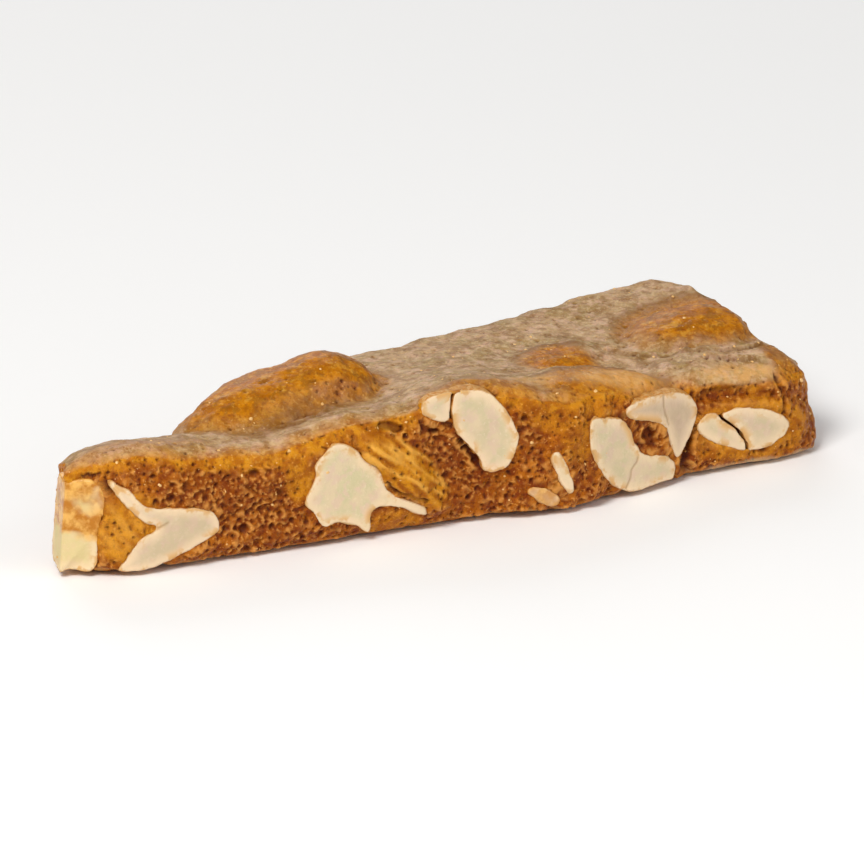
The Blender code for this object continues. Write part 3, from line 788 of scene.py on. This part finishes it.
def addFinishes(area, points, soft):
    # where each finish of the caramel shows
    look, fades = slabLook, slabLook["fades"]
    x, y, z = points.T
    wander, below = area.wander, area.below
    thin = spotMask(look["thinSpots"], x + wander, y + wander, 0.4) * area.top
    foot = spotMask(look["thinSpots"], x + 2 * wander, y + wander - 0.8, 0.25) * area.top * (1 - thin)
    drip = spotMask([look["dripSpot"]], x + wander, y + wander, 0.8) * area.top
    area.thin, area.foot = thin * (1 - 0.7 * drip), np.maximum(foot, drip)
    # paler with a painted highlight where the skin looks up
    area.bloom = spotMask(look["bloomSpots"], x + wander, y + wander, 0.6)
    area.bloom *= ease(soft[:, 2], *fades["bloomUp"])
    area.froth = spotMask(look["frothSpots"], x, y) * area.top

    area.smooth = spotMask(look["smoothSpots"], x + 0.5 * wander, z) * area.front
    area.crust = ease(below + wander, look["crustDepth"], look["crustCore"]) * area.front * area.broken
    area.crust *= ease(area.behind, *fades["crustBehind"])
    atEdge = ease(below + 0.5 * wander, *fades["brow"])
    area.brow = ease(area.behind + wander, look["browWidth"], 0) * atEdge
    area.brow = area.brow * (1 - area.under) * area.free * (1 - area.hangs)
    patches = blobs(points, look["patchSize"], 7)
    elsewhere = (1 - area.front) * ease(patches, *fades["foamBehind"])
    golden = 0.7 * ease(patches, *fades["goldPatch"])
    golden = np.maximum(ease(z + wander, *fades["goldHeight"]), golden)
    area.goldBehind = (1 - area.front) * area.broken * golden
    foam = spotMask(look["foamSpots"], x + wander, z + wander, 0.5) * area.front
    area.foam = np.maximum(foam, elsewhere) * area.broken

    area.streak = streaks(points)
    area.streaky = spotMask([look["streakySpot"]], x + 0.5 * wander, z) * area.front * area.broken
    glow = spotMask([look["glowSpot"]], x + wander, z + wander, 0.6) * area.front
    area.glow = glow * ease(area.streak, *fades["glow"])
    area.lip = ease(z + 0.4 * wander, *fades["lipHeight"]) * ease(-soft[:, 1], *fades["lipFront"])
    area.lip *= ease(x, *fades["lipStart"])


def bubbleDepth(points, soft, area):
    # how deep the bubbles go at each point
    bubbles = slabLook["bubbles"]
    clusters = ease(blobs(points, slabLook["clusterSize"], 8), *slabLook["fades"]["clusters"])
    calm = np.maximum(area.crust, 0.8 * area.goldBehind)
    crowd = np.clip(0.3 + 0.8 * area.foam - 0.9 * area.smooth - 0.7 * calm, 0.02, 1)
    crowd = area.broken * crowd * clusters * area.free
    spread = np.clip(0.5 + 0.5 * area.foam - 0.35 * area.smooth - 0.3 * calm, 0.02, 1)
    spread = area.broken * spread * area.free
    some = 1e-9  # keeps the chances from adding up to nothing
    chances = {
        "large": crowd, "middle": crowd, "small": spread,
        "topPits": area.top * (1 - 0.7 * area.thin) * area.free,
        "froth": area.froth * area.free + some,
    }
    pits = np.zeros(len(points))
    for size, chance in chances.items():
        pits = np.maximum(pits, pressBubbles(points, soft, chance, bubbles[size]))
    flats = pressBubbles(points, soft, area.under + some, bubbles["underside"])
    print("slab bubbles")
    return pits + flats * area.under


def addFolds(push, points, area):
    # the raised folds of the top's skin and the creases beside them
    u, v = points[:, 0] + 0.5 * area.wander, points[:, 1] + 0.5 * area.wander
    area.crease = np.zeros(len(points))
    for fold in slabLook["topFolds"]:
        near = lineNearness(u, v, fold["line"], fold["half"])
        beside = lineNearness(u, v + 0.6 * fold["half"], fold["line"], fold["half"] * 0.6)
        push += fold["rise"] * ease(near, 0, 0.8) * area.top
        area.crease = np.maximum(area.crease, ease(beside, 0, 1) * area.top)
    push -= slabLook["creaseDepth"] * area.crease


def grooveDepth(points, area):
    # how deep the grooves of the front break are at each point, and how dark their painted shade is
    ragged = 0.4 * area.wander + slabLook["ragged"] * blobs(points, slabLook["raggedSize"], 15)
    groove, area.dark = np.zeros(len(points)), np.zeros(len(points))
    for cut in slabLook["frontGrooves"]:
        near = lineNearness(points[:, 0] + ragged, points[:, 2] + ragged, cut["line"])
        near = ease(near, 0, 0.8) * area.front
        groove = np.maximum(groove, cut["depth"] * near)
        area.dark = np.maximum(area.dark, cut["dark"] * near)
    return groove


def relief(points, soft, area, crack):
    # how far each point moves out or in
    look = slabLook
    rough = area.broken * (1 - 0.75 * area.smooth)
    push = rough * look["cragDepth"] * blobs(points, look["cragSize"], 9)
    push += rough * look["grainDepth"] * blobs(points, look["grainSize"], 10)
    pulled = np.maximum(0.3 * area.smooth * area.broken, area.streaky)
    push += pulled * look["streakDepth"] * area.streak
    push += area.top * look["topWaveDepth"] * blobs(points, look["topWaveSize"], 12)
    push += area.top * look["topGrainDepth"] * blobs(points, look["topGrainSize"], 13)
    arris = 4 * area.broken * (1 - area.broken) * (points[:, 2] > 2)
    chips = np.maximum(0, blobs(points, look["chipSize"], 14) - look["chipFrom"])
    push -= arris * look["edgeChips"] * chips
    addFolds(push, points, area)
    crater = look["crater"]
    bowl = spotMask([crater], points[:, 0], points[:, 1], 0.6) * area.top
    push -= crater["depth"] * bowl
    push = push * area.free - grooveDepth(points, area) - look["crackDepth"] * crack
    push -= bubbleDepth(points, soft, area)
    trayWaves = np.maximum(0, blobs(points, look["trayWaveSize"], 17))
    push -= area.under * look["trayWaveDepth"] * trayWaves
    return push


def evenNormals(mesh, links):
    soft = rounded(readNormals(mesh), links, slabLook["normalRounding"], shrink=True)
    return soft / np.maximum(np.linalg.norm(soft, axis=1), 1e-6)[:, None]


def makeSlab(kernelPieces, paint):
    mesh = remeshed(filledSlab(), slabLook["cell"])
    points, links = readPoints(mesh), readLinks(mesh)
    flat = points[:, 2] < slabLook["flatBelow"]
    points = rounded(points, links, slabLook["rounding"])
    points[flat, 2] = 0
    drawn, gap = closeOnKernels(points, kernelPieces)
    crack = crackMask(points, gap, kernelPieces)
    points += (drawn - points) * (1 - crack)[:, None]
    writePoints(mesh, points)
    soft = evenNormals(mesh, links)
    print("slab remeshed", len(points))

    area = surfaceAreas(points, soft, gap)
    addFinishes(area, points, soft)
    print("slab areas")
    moved = points + soft * relief(points, soft, area, crack)[:, None]
    low, high = np.array(cadLow) / mm - planCorner, np.array(cadHigh) / mm - planCorner
    moved = np.clip(moved, low + slabLook["insideBox"], high - slabLook["insideBox"])
    writePoints(mesh, moved)

    fades = slabLook["fades"]
    evened = rounded(moved, links, slabLook["dentRounding"], shrink=True)
    dents = ((evened - moved) * soft).sum(1)
    pitted = ease(dents, *fades["dent"]) * ease(gap, *fades["dentClear"])
    trayPits = area.under * ease(dents, *fades["trayDent"])
    finishes = {
        "broken": area.broken, "thin": area.thin, "foam": area.foam, "brow": area.brow,
        "foot": area.foot, "bloom": area.bloom, "lip": area.lip, "under": area.under,
        "gold": np.max([area.smooth, 0.9 * area.crust, 0.8 * area.goldBehind], axis=0),
        # pale on the raised streaks, partly painted highlight, and in the painted glow; darker in the
        # furrows
        "streak": np.maximum(ease(area.streak, *fades["streak"]) * area.streaky, area.glow),
        "furrowShade": ease(area.streak, *fades["furrowShade"]) * area.streaky,
        # painted shade in dents, grooves, open cracks, creases and the dents of the underside
        "hollowShade": np.max([pitted, area.dark, crack, 0.4 * area.crease, trayPits], axis=0),
        # painted highlight on the raised crests of the break
        "crestHighlight": ease(-dents, *fades["crestHighlight"]) * area.broken,
    }
    for name, values in finishes.items():
        writeMask(mesh, name, values)
    print("slab relief")
    mesh = thinned(mesh, slabLook["triangles"])
    return addPiece("caramelSlab", mesh, paint, "brittle_slab")


# Grains that catch the light, and whose pale colour also stands in for painted glints: how many,
# their size, how deep they sit, how they are stretched, and a few larger chips on the top as a
# place (x, y) and a size.
sugarLook = {
    "count": 420, "size": (0.08, 0.3), "sunk": 0.45, "seed": 5,
    "stretch": [(0.7, 1.4), (0.7, 1.2), (0.5, 1)],
    "chips": [((28.0, 2.5), 0.5), ((22.6, 4.2), 0.3)],
}


def makeSugar(slab, paint):
    dice = random.Random(sugarLook["seed"])
    mesh = slab.data
    points, normals = readPoints(mesh), readNormals(mesh)
    shown = [index for index in range(0, len(points), 7) if normals[index][2] > -0.2]
    small, large = sugarLook["size"]
    spots = []
    for turn in range(sugarLook["count"]):
        spots.append((dice.choice(shown), small + (large - small) * dice.random() ** 3))
    for place, size in sugarLook["chips"]:
        away = np.hypot(points[:, 0] - place[0], points[:, 1] - place[1])
        away[normals[:, 2] < 0.3] += 99  # only points that look up
        spots.append((int(np.argmin(away)), size))
    shape = bmesh.new()
    for index, size in spots:
        made = bmesh.ops.create_icosphere(shape, subdivisions=1, radius=size * mm)["verts"]
        stretch = Vector([dice.uniform(*span) for span in sugarLook["stretch"]])
        bmesh.ops.scale(shape, verts=made, vec=stretch)
        turn = Matrix.Rotation(dice.uniform(0, math.tau), 3, Vector((dice.random(), dice.random(), 1)))
        bmesh.ops.rotate(shape, verts=made, matrix=turn)
        place = points[index] - normals[index] * size * sugarLook["sunk"]
        bmesh.ops.translate(shape, verts=made, vec=Vector((place + planCorner) * mm))
    grains = bpy.data.meshes.new("sugarGrains")
    shape.to_mesh(grains)
    shape.free()
    return addPiece("sugarGrains", grains, paint)


# The camera looks at a point to the right of the plan's corner and above it, as the camera sees
# it. What it sees across is in mm, as that point is, and the other lengths are in metres.
stageLook = {
    "azimuth": -24, "elevation": 20, "distance": 4.0,
    "across": 90, "aimRight": 37.8, "aimUp": 15.0,
    "floorHalf": 3, "floorColour": (0.96, 0.96, 0.96, 1), "floorRoughness": 0.9,
    "sky": 0.26,
    "softboxes": {
        "keyLight": {"place": (-0.35, -0.3, 0.5), "size": 0.25, "watts": 3.7,
                     "colour": (1, 0.98, 0.95)},
        "fillLight": {"place": (0.45, -0.5, 0.3), "size": 0.5, "watts": 1.3,
                      "colour": (1, 1, 1)},
        "backLight": {"place": (0.1, 0.6, 0.35), "size": 0.4, "watts": 1.2,
                      "colour": (1, 1, 1)},
    },
}


def makeFloor():
    shape = bmesh.new()
    bmesh.ops.create_grid(shape, x_segments=1, y_segments=1, size=stageLook["floorHalf"])
    mesh = bpy.data.meshes.new("floor")
    shape.to_mesh(mesh)
    shape.free()
    paint = bpy.data.materials.new("floorPaper")
    paint.use_nodes = True
    shader = paint.node_tree.nodes["Principled BSDF"]
    shader.inputs["Base Color"].default_value = stageLook["floorColour"]
    shader.inputs["Roughness"].default_value = stageLook["floorRoughness"]
    mesh.materials.append(paint)
    floor = bpy.data.objects.new("floor", mesh)
    bpy.context.scene.collection.objects.link(floor)


def addSoftbox(name, place, size, watts, colour):
    light = bpy.data.lights.new(name, "AREA")
    light.size = size
    light.energy = watts
    light.color = colour
    box = bpy.data.objects.new(name, light)
    box.location = place
    box.rotation_euler = (Vector((0, 0, 0.01)) - Vector(place)).to_track_quat("-Z", "Y").to_euler()
    bpy.context.scene.collection.objects.link(box)


def lightStage():
    world = bpy.data.worlds.new("studio")
    bpy.context.scene.world = world
    world.use_nodes = True
    sky = world.node_tree.nodes["Background"]
    sky.inputs["Color"].default_value = (1, 1, 1, 1)
    sky.inputs["Strength"].default_value = stageLook["sky"]
    for name, box in stageLook["softboxes"].items():
        addSoftbox(name, **box)
    bpy.context.scene.view_settings.view_transform = "Standard"


def placeCamera():
    turn, rise = math.radians(stageLook["azimuth"]), math.radians(stageLook["elevation"])
    back = Vector((math.sin(turn) * math.cos(rise), -math.cos(turn) * math.cos(rise), math.sin(rise)))
    right = Vector((math.cos(turn), math.sin(turn), 0))
    up = back.cross(right)
    aim = Vector(planCorner) + right * stageLook["aimRight"] + up * stageLook["aimUp"]
    lens = bpy.data.cameras.new("camera")
    lens.lens = lens.sensor_width * stageLook["distance"] / (stageLook["across"] * mm)
    lens.clip_end = 20
    camera = bpy.data.objects.new("camera", lens)
    place = Matrix((right, up, back)).transposed().to_4x4()
    place.translation = aim * mm + back * stageLook["distance"]
    camera.matrix_world = place
    bpy.context.scene.collection.objects.link(camera)
    bpy.context.scene.camera = camera


placeCamera()
lightStage()
makeFloor()
print("stage done")
nutPaint = kernelPaint()
kernelPieces = {node: makeKernel(node, plan, nutPaint) for node, plan in kernels.items()}
print("kernels done")
slab = makeSlab(kernelPieces, caramelPaint())
makeSugar(slab, sugarPaint())
print("pieces done")
